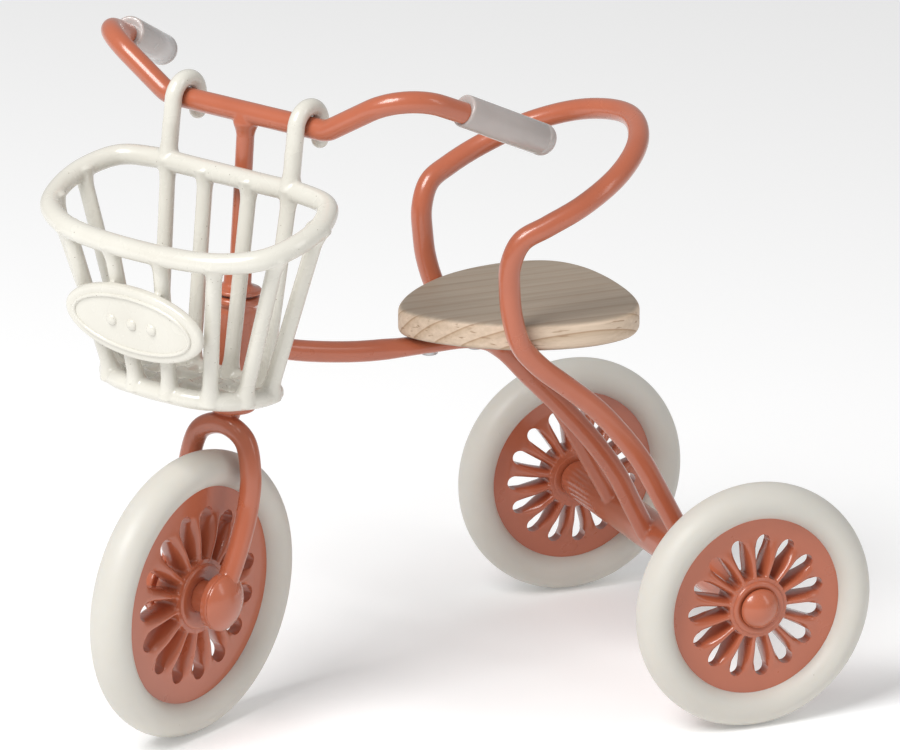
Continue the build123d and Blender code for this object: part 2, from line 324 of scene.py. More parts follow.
def fuse(name, parts, voxel, passes, body, nodes, material):
    """Melts overlapping closed meshes into one skin with soft fillets."""
    work = bmesh.new()
    for part in parts:
        work.from_mesh(part.data)
        bpy.data.objects.remove(part)
    mesh = bpy.data.meshes.new(name)
    work.to_mesh(mesh)
    work.free()
    obj = new_object(name, mesh)
    remesh = obj.modifiers.new("skin", "REMESH")
    remesh.mode = "VOXEL"
    remesh.voxel_size = voxel * MM
    remesh.use_smooth_shade = True
    soften = obj.modifiers.new("soften", "SMOOTH")
    soften.factor = 0.5
    soften.iterations = passes
    apply_modifiers(obj)
    finish(obj, body, nodes, material)


def finish(obj, body, nodes, material):
    """Gives a piece its material and body, and hides the CAD nodes it stands in for."""
    obj.data.materials.clear()
    obj.data.materials.append(material)
    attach(obj, body)
    if nodes:
        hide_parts(*nodes)


def millimetres(place):
    """A placement in metres that takes millimetre coordinates."""
    return place @ Matrix.Diagonal((MM, MM, MM, 1))


# ---- materials ----
def new_material(name):
    material = bpy.data.materials.new(name)
    material.use_nodes = True
    tree = material.node_tree
    shader = tree.nodes["Principled BSDF"]
    coordinates = tree.nodes.new("ShaderNodeTexCoord")
    return material, tree, shader, coordinates.outputs["Object"]


def add_node(tree, kind, inputs=None, **settings):
    node = tree.nodes.new(kind)
    for key, value in settings.items():
        setattr(node, key, value)
    for key, value in (inputs or {}).items():
        if isinstance(value, bpy.types.NodeSocket):
            tree.links.new(value, node.inputs[key])
        else:
            node.inputs[key].default_value = value
    return node


def noise(tree, vector, scale, detail=3.0, rough=0.5):
    inputs = {"Vector": vector, "Scale": scale, "Detail": detail, "Roughness": rough}
    return add_node(tree, "ShaderNodeTexNoise", inputs).outputs["Fac"]


def ramp(tree, value, stops):
    node = add_node(tree, "ShaderNodeValToRGB", {"Fac": value})
    elements = node.color_ramp.elements
    while len(elements) < len(stops):
        elements.new(0.5)
    for element, (position, colour) in zip(elements, stops):
        element.position = position
        element.color = (*colour, 1)
    return node.outputs["Color"]


def mix(tree, share, first, second, blend="MIX"):
    node = add_node(tree, "ShaderNodeMix", data_type="RGBA", blend_type=blend)
    for index, value in ((0, share), (6, first), (7, second)):
        if isinstance(value, bpy.types.NodeSocket):
            tree.links.new(value, node.inputs[index])
        elif index == 0:
            node.inputs[index].default_value = value
        else:
            node.inputs[index].default_value = (*value, 1)
    return node.outputs[2]


def bump(tree, shader, height, strength, distance, below=None):
    inputs = {"Height": height, "Strength": strength, "Distance": distance * MM}
    if below is not None:
        inputs["Normal"] = below
    node = add_node(tree, "ShaderNodeBump", inputs)
    tree.links.new(node.outputs["Normal"], shader.inputs["Normal"])
    return node.outputs["Normal"]


def grey_ramp(tree, value, low, high, dark=0.0, light=1.0):
    return ramp(tree, value, [(low, (dark,) * 3), (high, (light,) * 3)])


def specks(tree, where, spacing, size, share):
    """Small round dots: one in some of the cells of the given spacing, in millimetres."""
    cells = add_node(tree, "ShaderNodeTexVoronoi", {"Vector": where, "Scale": 1 / (spacing * MM)})
    dots = grey_ramp(tree, cells.outputs["Distance"], 0.6 * size / spacing, size / spacing, 1.0, 0.0)
    chance = add_node(tree, "ShaderNodeSeparateColor", {"Color": cells.outputs["Color"]})
    chosen = grey_ramp(tree, chance.outputs["Red"], share, share + 0.01, 1.0, 0.0)
    return mix(tree, 1.0, dots, chosen, "MULTIPLY")


def coral_paint():
    """Thick glossy enamel with slight orange peel, pooled darker here and there."""
    material, tree, shader, where = new_material("coral_paint")
    pooled = noise(tree, where, 90, 3)
    base = ramp(tree, pooled, [(0.3, (0.43, 0.112, 0.052)), (0.7, (0.475, 0.128, 0.061))])
    base = mix(tree, specks(tree, where, 1.4, 0.11, 0.12), base, (0.36, 0.11, 0.06))
    tree.links.new(base, shader.inputs["Base Color"])
    rough = grey_ramp(tree, noise(tree, where, 220, 4), 0.3, 0.7, 0.26, 0.34)
    tree.links.new(rough, shader.inputs["Roughness"])
    shader.inputs["Coat Weight"].default_value = 0.55
    shader.inputs["Coat Roughness"].default_value = 0.12
    peel = bump(tree, shader, noise(tree, where, 900, 1), 0.12, 0.02)
    bump(tree, shader, noise(tree, where, 130, 1), 0.12, 0.05, peel)
    return material


def cream_enamel():
    """Lumpy cream enamel over a casting, with fine dark dust specks."""
    material, tree, shader, where = new_material("cream_enamel")
    cloud = noise(tree, where, 120, 4)
    base = ramp(tree, cloud, [(0.3, (0.655, 0.63, 0.56)), (0.7, (0.70, 0.68, 0.61))])
    base = mix(tree, specks(tree, where, 0.9, 0.085, 0.35), base, (0.30, 0.26, 0.20))
    tree.links.new(base, shader.inputs["Base Color"])
    rough = grey_ramp(tree, noise(tree, where, 260, 3), 0.3, 0.7, 0.2, 0.34)
    tree.links.new(rough, shader.inputs["Roughness"])
    shader.inputs["Coat Weight"].default_value = 0.5
    shader.inputs["Coat Roughness"].default_value = 0.1
    fine = bump(tree, shader, noise(tree, where, 1100, 2), 0.2, 0.03)
    bump(tree, shader, noise(tree, where, 300, 2), 0.3, 0.10, fine)
    return material


def tyre_silicone():
    """Soft matte off-white silicone with faint bloom and dust."""
    material, tree, shader, where = new_material("tyre_silicone")
    bloom = noise(tree, where, 45, 5, 0.6)
    base = ramp(tree, bloom, [(0.3, (0.585, 0.563, 0.51)), (0.7, (0.635, 0.613, 0.56))])
    base = mix(tree, specks(tree, where, 1.6, 0.1, 0.10), base, (0.46, 0.42, 0.35))
    tree.links.new(base, shader.inputs["Base Color"])
    rough = grey_ramp(tree, noise(tree, where, 150, 4), 0.3, 0.7, 0.42, 0.58)
    tree.links.new(rough, shader.inputs["Roughness"])
    shader.inputs["Subsurface Weight"].default_value = 0.35
    shader.inputs["Subsurface Radius"].default_value = (1.0, 0.8, 0.6)
    shader.inputs["Subsurface Scale"].default_value = 0.0012
    bump(tree, shader, noise(tree, where, 2200, 3), 0.25, 0.02)
    return material


def grip_vinyl():
    """Clear-ish greyish pink vinyl, glossy."""
    material, tree, shader, where = new_material("grip_vinyl")
    cloud = noise(tree, where, 130, 3)
    base = ramp(tree, cloud, [(0.3, (0.40, 0.355, 0.335)), (0.7, (0.46, 0.41, 0.39))])
    tree.links.new(base, shader.inputs["Base Color"])
    rough = grey_ramp(tree, noise(tree, where, 300, 3), 0.3, 0.7, 0.16, 0.28)
    tree.links.new(rough, shader.inputs["Roughness"])
    shader.inputs["Subsurface Weight"].default_value = 0.6
    shader.inputs["Subsurface Radius"].default_value = (1.0, 0.75, 0.7)
    shader.inputs["Subsurface Scale"].default_value = 0.0015
    shader.inputs["Coat Weight"].default_value = 0.4
    shader.inputs["Coat Roughness"].default_value = 0.08
    bump(tree, shader, noise(tree, where, 500, 2), 0.2, 0.03)
    return material


def beech():
    """Pale beech: fine growth rings along X, short flecks, open end grain at front and back."""
    material, tree, shader, where = new_material("beech")
    heart = rear_point(0, 42, 14)
    shifted = add_node(tree, "ShaderNodeVectorMath", {0: where, 1: tuple(heart)}, operation="SUBTRACT")
    flat = add_node(tree, "ShaderNodeVectorMath", {0: shifted.outputs[0], 1: (0.0, 1, 1)},
                    operation="MULTIPLY")
    wander = add_node(tree, "ShaderNodeMapping", {"Vector": where, "Scale": (12, 60, 60)})
    wobble = noise(tree, wander.outputs[0], 1.0, 2)
    distance = add_node(tree, "ShaderNodeVectorMath", {0: flat.outputs[0]}, operation="LENGTH")
    bent = add_node(tree, "ShaderNodeMath", {0: wobble, 1: 2.4 * MM, 2: distance.outputs["Value"]},
                    operation="MULTIPLY_ADD")
    turns = add_node(tree, "ShaderNodeMath", {0: bent.outputs[0], 1: 1 / (2.1 * MM)},
                     operation="MULTIPLY")
    part = add_node(tree, "ShaderNodeMath", {0: turns.outputs[0]}, operation="FRACT")
    pale = (0.70, 0.56, 0.43)
    warm = (0.60, 0.46, 0.33)
    line = (0.44, 0.29, 0.18)
    end_grain = ramp(tree, part.outputs[0], [(0.0, pale), (0.5, pale), (0.84, warm), (0.94, line),
                                             (1.0, pale)])
    face = (0.40, 0.335, 0.265)
    face_dark = (0.355, 0.285, 0.215)
    face_grain = ramp(tree, part.outputs[0], [(0.0, face), (0.6, face), (0.93, face_dark), (1.0, face)])
    streaks = add_node(tree, "ShaderNodeMapping", {"Vector": where, "Scale": (60, 1500, 1500)})
    streak = noise(tree, streaks.outputs[0], 1.0, 4, 0.65)
    tone = ramp(tree, streak, [(0.3, (0.80, 0.77, 0.73)), (0.7, (1.0, 1.0, 1.0))])
    flecks = add_node(tree, "ShaderNodeMapping", {"Vector": where, "Scale": (260, 900, 2600)})
    fleck = grey_ramp(tree, noise(tree, flecks.outputs[0], 1.0, 2), 0.62, 0.70)
    side = add_node(tree, "ShaderNodeNewGeometry")
    split = add_node(tree, "ShaderNodeSeparateXYZ", {0: side.outputs["Normal"]})
    facing_up = add_node(tree, "ShaderNodeMath", {0: split.outputs["Z"]}, operation="ABSOLUTE")
    upward = grey_ramp(tree, facing_up.outputs[0], 0.55, 0.9)
    base = mix(tree, 1.0, mix(tree, upward, end_grain, face_grain), tone, "MULTIPLY")
    edge = grey_ramp(tree, facing_up.outputs[0], 0.45, 0.8, 0.7, 0.12)
    amount = mix(tree, 1.0, fleck, edge, "MULTIPLY")
    base = mix(tree, amount, base, (0.30, 0.18, 0.10))
    tree.links.new(base, shader.inputs["Base Color"])
    tree.links.new(grey_ramp(tree, streak, 0.3, 0.7, 0.5, 0.66), shader.inputs["Roughness"])
    grain = bump(tree, shader, streak, 0.5, 0.05)
    bump(tree, shader, part.outputs[0], 0.15, 0.04, grain)
    return material


def plain_steel():
    material, tree, shader, where = new_material("plain_steel")
    brushed = add_node(tree, "ShaderNodeMapping", {"Vector": where, "Scale": (600, 60, 600)})
    streak = noise(tree, brushed.outputs[0], 1.0, 4)
    tree.links.new(ramp(tree, streak, [(0.3, (0.40, 0.40, 0.41)), (0.7, (0.58, 0.58, 0.58))]),
                   shader.inputs["Base Color"])
    tree.links.new(grey_ramp(tree, streak, 0.3, 0.7, 0.25, 0.42), shader.inputs["Roughness"])
    shader.inputs["Metallic"].default_value = 1.0
    return material


PAINT = coral_paint()
CREAM = cream_enamel()
SILICONE = tyre_silicone()
VINYL = grip_vinyl()
WOOD = beech()
STEEL = plain_steel()
BY_SLOT = {"coral_paint": PAINT, "cream_enamel": CREAM, "tyre_silicone": SILICONE,
           "grip_silicone": VINYL, "beech": WOOD, "steel": STEEL}


def dress_cad_nodes():
    """Every CAD node gets its detailed material, also where a piece stands in for it."""
    slots = {s["node"]: s["material_slot"] for s in frame["record"]["subparts"]}
    for name, obj in frame["nodes"].items():
        obj.data.materials.clear()
        obj.data.materials.append(BY_SLOT[slots[name]])


# ---- frame body ----
def backbone_points():
    side = [(WHEELBASE - 4.6, 54.15), (58, 52.9), (54.0, 51.95), (47.0, 50.95), (41.0, 50.65), (35.5, 50.7)]
    side += [(29.5, 50.6), (25.0, 49.0), (20.3, 44.2), (15.0, 38.6), (10.0, 32.6), (6.6, 27.6)]
    side += [(4.2, 22.8), (2.0, 18.5)]
    return curve_through([rear_point(x, 0, z) for x, z in side], steps=12)


def backbone_section(point):
    """Round rod that is hammered flat where the seat lies on it."""
    x = (point - REAR).x / MM
    flat = max(0.0, min(1.0, (x - 24.5) / 3.0, (43.0 - x) / 5.0))
    flat = flat * flat * (3 - 2 * flat)
    return (ROD_R + 0.8 * flat) * MM, (ROD_R - 0.3 * flat) * MM


def hoop_points():
    half = [(0.9, 13.4, 18.9), (4.2, 13.6, 24.9), (6.7, 13.7, 29.6), (9.4, 13.9, 34.4)]
    half += [(12.7, 14.0, 38.8), (16.3, 14.1, 42.8), (20.6, 14.2, 46.5), (25.2, 14.4, 50.3)]
    half += [(28.0, 14.6, 53.6), (29.5, 14.9, 58.0), (30.0, 15.1, 62.0), (30.0, 15.4, 65.6)]
    half += [(28.6, 16.0, 69.0), (25.2, 16.8, 70.9), (20.0, 17.0, 73.3), (13.6, 14.8, 76.4)]
    half += [(8.0, 8.9, 79.1)]
    loop = half + [(5.4, 0, 80.3)] + [(x, -y, z) for x, y, z in reversed(half)]
    return curve_through([rear_point(*p) for p in loop], steps=10)


def frame_skin():
    parts = [tube("backbone_part", backbone_points(), ROD_R * MM, wide=backbone_section)]
    parts.append(tube("hoop_part", hoop_points(), ROD_R * MM))
    reach = HALF_TRACK - 2.7
    housing = [(0.01, -reach), (HOUSING_R - 0.4, -reach)]
    housing += arc_profile(HOUSING_R - 0.4, -reach + 0.4, 0.4, -90, 0)
    housing += arc_profile(HOUSING_R - 0.4, reach - 0.4, 0.4, 0, 90)
    housing += [(0.01, reach)]
    across = millimetres(axes_matrix(rear_point(0, 0, REAR_R), Vector((1, 0, 0)), Vector((0, 1, 0))))
    parts.append(lathe("housing_part", housing, across))
    collar = [(0.01, HEAD_LOW)] + arc_profile(HEAD_R - 0.1, HEAD_LOW + 0.55, 0.55, -90, 60)
    collar += [(HEAD_R - 0.05, HEAD_LOW + 1.6), (HEAD_R, HEAD_LOW + 2.2), (HEAD_R, HEAD_HIGH - 2.3)]
    collar += [(HEAD_R - 0.15, HEAD_HIGH - 1.5)]
    collar += arc_profile(HEAD_R - 0.05, HEAD_HIGH - 0.65, 0.62, -50, 90) + [(0.01, HEAD_HIGH)]
    upright = millimetres(axes_matrix(FOOT, AHEAD, UP))
    parts.append(lathe("head_part", collar, upright))
    fuse("painted_frame", parts, 0.2, 6, "frame",
         ["backbone", "backrest_hoop", "axle_housing", "head_tube"], PAINT)


# ---- seat ----
def seat_outline():
    half = [(38.7, 3.2), (35.7, 7.2), (31.7, 10.7), (26.7, 13.7), (21.1, 15.3), (15.6, 15.4)]
    half += [(10.7, 13.6), (7.8, 9.4)]
    loop = [(39.8, 0)] + half + [(6.5, 0)] + [(x, -y) for x, y in reversed(half)]
    return curve_through([Vector((x, y, 0)) for x, y in loop], closed=True, steps=10)


def seat_board():
    """Board with rounded edges: offset rings of the outline, stacked from below to above."""
    outline = seat_outline()
    middle = Vector((23.0, 0, 0))
    low = SEAT_TOP - SEAT_T
    top = 1.0
    bottom = 0.9
    profile = [(12.0, 0.0), (5.0, 0.0)]
    for a in range(0, 91, 15):
        profile.append((bottom * (1 - sin(radians(a))), bottom * (1 - cos(radians(a)))))
    for a in range(0, 91, 15):
        profile.append((top * (1 - cos(radians(a))), SEAT_T - top * (1 - sin(radians(a)))))
    profile += [(5.0, SEAT_T), (12.0, SEAT_T)]
    verts = []
    for inset, height in profile:
        for i, point in enumerate(outline):
            tangent = (outline[(i + 1) % len(outline)] - outline[i - 1]).normalized()
            inward = Vector((-tangent.y, tangent.x, 0))
            if inward.dot(middle - point) < 0:
                inward = -inward
            place = point + inward * inset if inset < 2 else point.lerp(middle, inset / 16.0)
            verts.append(rear_point(place.x, place.y, low + height))
    count = len(outline)
    faces = []
    for i in range(len(profile) - 1):
        for k in range(count):
            m = (k + 1) % count
            faces.append((i * count + k, i * count + m, (i + 1) * count + m, (i + 1) * count + k))
    faces.append(tuple(range(count))[::-1])
    faces.append(tuple((len(profile) - 1) * count + k for k in range(count)))
    finish(mesh_object("seat_board", verts, faces), "frame", ["seat"], WOOD)


# ---- wheels, built in millimetres round local Z with the outer face up ----
def wheel_disc(name, radius, hub_out, hub_in, place, body, node):
    """Cast disc: flat border, 15 deep teardrop slots, spokes that thicken towards the hub."""
    seen = radius - DISC_BORDER
    edge = radius - DISC_TUCK
    slot_in = seen * SLOT_IN
    slot_out = seen * SLOT_OUT
    hub_r = seen * HUB_SHARE
    radii = [edge, seen + 0.2, seen * 0.93, seen * 0.87]
    round_end = seen * SLOT_ROUND
    steps = 9
    for k in range(steps):
        radii.append(slot_out - round_end * (1 - cos(pi / 2 * k / steps)))
    steps = 18
    for k in range(steps + 1):
        share = sin(pi / 2 * k / steps)
        radii.append(slot_out - round_end - (slot_out - round_end - slot_in) * share)
    radii += [hub_r, hub_r * 0.6, 0.8]
    sector = 2 * pi / SLOTS
    columns = 12
    grid = []
    for r in radii:
        half = slot_half_width(r, slot_in, slot_out, seen)
        gap = asin(min(1.0, half / r)) if half > 0 else 0.0
        deep = blend_in(r, slot_out + 0.02 * seen, seen * 0.5)
        front = DISC_HALF + 0.7 * deep
        back = -DISC_HALF - 1.6 * deep
        dip = blend_in(r, slot_out, slot_out - 2.2 * round_end)
        valley = dip * min(1.0, half / (0.03 * seen)) * (0.25 + 1.25 * deep)
        row = []
        for j in range(columns + 1):
            share = j / columns
            angle = gap + (sector - 2 * gap) * share
            away = abs(2 * share - 1) ** 2.4
            row.append((r, angle, front - valley * away, back + 0.6 * valley * away))
        grid.append((row, gap > 1e-6))
    verts = []
    faces = []
    for s in range(SLOTS):
        base = len(verts)
        for row, _ in grid:
            for r, angle, front, back in row:
                turn = angle + s * sector
                verts.append(place @ Vector((r * cos(turn), r * sin(turn), front)))
                verts.append(place @ Vector((r * cos(turn), r * sin(turn), back)))
        width = 2 * (columns + 1)
        for i in range(len(grid) - 1):
            for j in range(columns):
                a = base + i * width + 2 * j
                b = a + width
                faces.append((a, a + 2, b + 2, b))
                faces.append((a + 1, b + 1, b + 3, a + 3))
            if grid[i][1] or grid[i + 1][1]:
                a = base + i * width
                b = a + width
                faces.append((a, b, b + 1, a + 1))
                a += 2 * columns
                b += 2 * columns
                faces.append((a, a + 1, b + 1, b))
        for j in range(columns):
            a = base + 2 * j
            faces.append((a, a + 1, a + 3, a + 2))
            a = base + (len(grid) - 1) * width + 2 * j
            faces.append((a, a + 2, a + 3, a + 1))
    disc = mesh_object(name, verts, faces)
    disc.data.set_sharp_from_angle(angle=radians(55))
    finish(disc, body, [node], PAINT)
    hub = hub_profile(hub_r, hub_out, hub_in)
    hub = lathe(name + "_hub", hub, place)
    hub.data.set_sharp_from_angle(angle=radians(50))
    finish(hub, body, [], PAINT)


def slot_half_width(r, slot_in, slot_out, seen):
    """Half width of the teardrop at one radius, zero outside it."""
    small = seen * SLOT_POINT
    large = seen * SLOT_ROUND
    if r >= slot_out - 1e-6 or r <= slot_in + 1e-6:
        return 0.0
    inner = slot_in + small
    outer = slot_out - large
    if r > outer:
        return sqrt(max(0.0, large ** 2 - (r - outer) ** 2))
    if r < inner:
        return sqrt(max(0.0, small ** 2 - (r - inner) ** 2))
    return small + (large - small) * ((r - inner) / (outer - inner)) ** 0.9


def blend_in(r, start, end):
    share = max(0.0, min(1.0, (start - r) / (start - end)))
    return share * share * (3 - 2 * share)


def hub_profile(ring_r, hub_out, hub_in):
    """Hub ring standing a little proud of the spokes on both faces."""
    profile = [(HUB_BORE, -hub_in)]
    profile += arc_profile(1.9, -hub_in + 0.3, 0.3, -90, 0, 4)
    profile += [(2.3, -2.45)] + arc_profile(ring_r - 0.4, -2.1, 0.45, -90, 0, 5)
    profile += arc_profile(ring_r - 0.4, 1.5, 0.45, 0, 90, 5) + [(3.0, 1.8)]
    profile += [(2.3, 1.6)] + arc_profile(1.9, hub_out - 0.3, 0.3, 0, 90, 4)
    profile += [(HUB_BORE, hub_out), (HUB_BORE, -hub_in)]
    return profile


def tyre(name, radius, place, body, node):
    """Soft ring of oval section."""
    profile = []
    steps = 44
    for k in range(steps):
        angle = 2 * pi * k / steps
        x = TYRE_DEEP * cos(angle)
        z = TYRE_HALF * sin(angle)
        profile.append((radius - TYRE_DEEP + x, z))
    profile.append(profile[0])
    finish(lathe(name, profile, place, 144), body, [node], SILICONE)


def dome_profile(radius, skirt, height):
    sphere = (radius ** 2 + height ** 2) / (2 * height)
    centre = skirt + height - sphere
    start = asin((skirt - centre) / sphere)
    profile = [(0.02, 0.0), (radius - 0.12, 0.0), (radius, 0.12), (radius, skirt - 0.1)]
    for k in range(1, 15):
        angle = start + (pi / 2 - start) * k / 14
        profile.append((max(0.02, sphere * cos(angle)), centre + sphere * sin(angle)))
    return profile


def rear_wheels():
    for name, side in (("left", 1), ("right", -1)):
        centre = rear_point(0, side * HALF_TRACK, REAR_R)
        outward = Vector((0, side, 0))
        place = millimetres(axes_matrix(centre, Vector((1, 0, 0)), outward))
        body = name + "_rear_wheel"
        wheel_disc(name + "_wheel_disc", REAR_R, 1.8, 2.5, place, body, name + "_disc")
        tyre(name + "_wheel_tyre", REAR_R, place, body, name + "_tyre")
        cap_place = millimetres(axes_matrix(centre + outward * 1.9 * MM, Vector((1, 0, 0)), outward))
        cap = lathe(name + "_dome_cap", dome_profile(AXLE_CAP_R, CAP_SKIRT, CAP_RISE), cap_place)
        finish(cap, "frame", [name + "_axle_cap"], PAINT)


def front_wheel():
    centre = steer_point(TRAIL, 0, 0)
    place = millimetres(axes_matrix(centre, AHEAD, SIDE))
    wheel_disc("front_wheel_disc", FRONT_R, 3.9, 3.9, place, "front_wheel", "front_disc")
    tyre("front_wheel_tyre", FRONT_R, place, "front_wheel", "front_tyre")


# ---- steering body ----
def bar_path():
    half = [(0, 13.6, BAR_HIGH), (0, 26.2, BAR_HIGH + 7.6), (-22.6, 32.7, BAR_HIGH - 0.9)]
    points = [steer_point(x, -y, z) for x, y, z in reversed(half)]
    points += [steer_point(*p) for p in half]
    bends = [b * MM for b in (7.0, 4.0, 4.0, 7.0)]
    return spread(rounded_path(points, bends, 14), 0.6 * MM)


def steering_skin():
    stem = spread([steer_point(0, 0, 25.0), steer_point(0, 0, BAR_HIGH)], 0.8 * MM)
    parts = [tube("bar_part", bar_path(), ROD_R * MM), tube("stem_part", stem, STEM_R * MM)]
    parts.append(weld_collar(0, 0, BAR_HIGH - 1.9))
    fuse("handlebar_and_stem", parts, 0.18, 6, "steering", ["handlebar", "stem"], PAINT)


def weld_collar(x, y, z):
    """Paint and weld built up where the stem meets the bar."""
    profile = [(0.01, -1.6), (1.2, -1.5), (1.4, -0.6), (1.8, 0.4), (1.6, 1.5), (0.01, 1.6)]
    place = millimetres(axes_matrix(steer_point(x, y, z), AHEAD, UP))
    return lathe("weld_part", profile, place, 40)


def ferrule():
    z0 = HEAD_HIGH + 0.25
    profile = [(1.2, z0), (3.0, z0)] + arc_profile(3.05, z0 + 0.35, 0.35, -90, 90)
    profile += [(2.2, z0 + 1.0), (1.9, z0 + 1.4), (1.9, z0 + 3.5)]
    profile += arc_profile(1.6, z0 + 3.7, 0.3, 0, 90, 4) + [(1.2, z0 + 4.0), (1.2, z0)]
    place = millimetres(axes_matrix(FOOT, AHEAD, UP))
    finish(lathe("stem_ferrule", profile, place), "steering", ["upper_flange"], PAINT)


def fork_skin():
    side = [(1.7, 5.3, 17.5), (1.8, 5.3, 13.0), (3.2, 5.25, 8.0), (4.9, 5.05, 3.6), (TRAIL - 0.4, 4.9, 1.2)]
    half = [(1.55, 3.8, 21.9)] + side
    loop = [(x, -y, z) for x, y, z in reversed(half)] + [(1.45, 0, 23.4)] + half
    path = curve_through([steer_point(*p) for p in loop], steps=10)
    parts = [tube("fork_part", path, ROD_R * MM)]
    for way in (1, -1):
        eye = [(0.01, 0.0)] + arc_profile(3.7, 0.3, 0.3, -90, 0, 4) + arc_profile(3.7, 1.05, 0.3, 0, 90, 4)
        eye += [(0.01, 1.35)]
        place = axes_matrix(steer_point(TRAIL, way * EYE_IN, 0), AHEAD, SIDE * way)
        parts.append(lathe("eye_part", eye, millimetres(place)))
    z1 = HEAD_LOW - 0.25
    crown = [(0.01, z1 - 3.0), (1.2, z1 - 2.9), (1.5, z1 - 1.8), (3.0, z1 - 1.5)]
    crown += arc_profile(3.05, z1 - 1.05, 0.35, -90, 0, 4) + arc_profile(3.05, z1 - 0.35, 0.35, 0, 90, 4)
    crown += [(0.01, z1)]
    parts.append(lathe("crown_part", crown, millimetres(axes_matrix(FOOT, AHEAD, UP))))
    fuse("fork_and_crown", parts, 0.16, 5, "steering", ["fork", "crown_flange"], PAINT)
    for name, way in (("left", 1), ("right", -1)):
        place = axes_matrix(steer_point(TRAIL, way * EYE_OUT, 0), AHEAD, SIDE * way)
        dome = dome_profile(FORK_CAP_R, CAP_SKIRT, CAP_RISE)
        cap = lathe(name + "_fork_dome", dome, millimetres(place))
        finish(cap, "steering", [name + "_fork_cap"], PAINT)


def grips():
    for name, way in (("left", 1), ("right", -1)):
        start = steer_point(-9.9, way * 28.75, 71.35)
        end = steer_point(-24.3, way * 33.35, 65.4)
        length = (end - start).length / MM
        profile = [(1.5, 0.05)] + arc_profile(GRIP_R - 0.3, 0.3, 0.3, -90, 0, 5)
        profile += [(GRIP_R, length * 0.5), (GRIP_R - 0.02, length - 2.3), (GRIP_R - 0.09, length - 2.15)]
        profile += [(GRIP_R - 0.02, length - 2.0)]
        profile += arc_profile(GRIP_R - 1.75, length - 1.75, 1.75, 8, 88, 10) + [(0.02, length)]
        place = millimetres(axes_matrix(start, UP, end - start))
        obj = lathe(name + "_handle_grip", profile, place)
        finish(obj, "steering", [name + "_grip"], VINYL)


# ---- basket ----
def rim_height(x):
    return RIM_HIGH - RIM_DROP * (x - 3.0)


def basket_loop(side, height):
    half = [(x, y, height(x)) for x, y in side]
    loop = half + [(x, -y, z) for x, y, z in reversed(half)]
    return curve_through([steer_point(*p) for p in loop], closed=True, steps=10)


def basket_bars():
    """Pairs of (foot, top) in the steering frame for every bar, both sides."""
    fronts = [((15.8, 8.4), (21.8, 12.6)), ((17.3, 2.8), (22.9, 4.2))]
    sides = [((7.6, 12.1), (9.6, 20.3)), ((12.2, 11.4), (16.8, 19.2))]
    backs = [((4.8, 9.0), (3.2, HOOK_Y)), ((4.8, 3.2), (3.4, 3.8))]
    bars = []
    for foot, top in fronts + sides + backs:
        for way in (1, -1):
            low = steer_point(foot[0], way * foot[1], FLOOR_HIGH)
            high = steer_point(top[0], way * top[1], rim_height(top[0]))
            bars.append((low, high))
    return bars


def flared_bar(low, high, radius, flare, both=True):
    """Straight bar that swells where it melts into the rim and the floor ring."""
    def half_size(point):
        ends = (low, high) if both else (low,)
        near = min((point - end).length for end in ends) / MM
        size = (radius + flare * max(0.0, 1 - near / 3.0) ** 2) * MM
        return size, size

    return tube("bar_part", spread([low, high], 0.4 * MM), radius * MM, sides=20, wide=half_size)


def blob(point, radius):
    """Small swelling where two bars melt together."""
    work = bmesh.new()
    bmesh.ops.create_icosphere(work, subdivisions=3, radius=radius * MM)
    bmesh.ops.translate(work, verts=work.verts, vec=point)
    mesh = bpy.data.meshes.new("blob")
    work.to_mesh(mesh)
    work.free()
    return new_object("blob", mesh)


def basket_floor_parts():
    parts = []
    for y in (-6.0, -2.0, 2.0, 6.0):
        reach = 6.2 if abs(y) < 4 else 5.4
        line = [steer_point(11.0 - reach, y, FLOOR_HIGH), steer_point(11.0 + reach, y, FLOOR_HIGH)]
        parts.append(tube("floor_part", spread(line, 0.8 * MM), 0.95 * MM, sides=16))
    for x, reach in ((8.9, 11.8), (13.0, 10.6)):
        line = [steer_point(x, -reach, FLOOR_HIGH), steer_point(x, reach, FLOOR_HIGH)]
        parts.append(tube("floor_part", spread(line, 0.8 * MM), 0.95 * MM, sides=16))
        for y in (-6.0, -2.0, 2.0, 6.0):
            parts.append(blob(steer_point(x, y, FLOOR_HIGH), 1.25))
    return parts


def hook_path(way):
    wrap = ROD_R + FIT + HOOK_R
    y = way * HOOK_Y
    points = [steer_point(3.2, y, RIM_HIGH - 0.5), steer_point(wrap, y, BAR_HIGH - 0.5)]
    for k in range(1, 17):
        angle = pi * k / 16
        points.append(steer_point(wrap * cos(angle), y, BAR_HIGH + wrap * sin(angle)))
    points.append(steer_point(-wrap, y, BAR_HIGH - 2.2))
    return spread(points, 0.7 * MM)


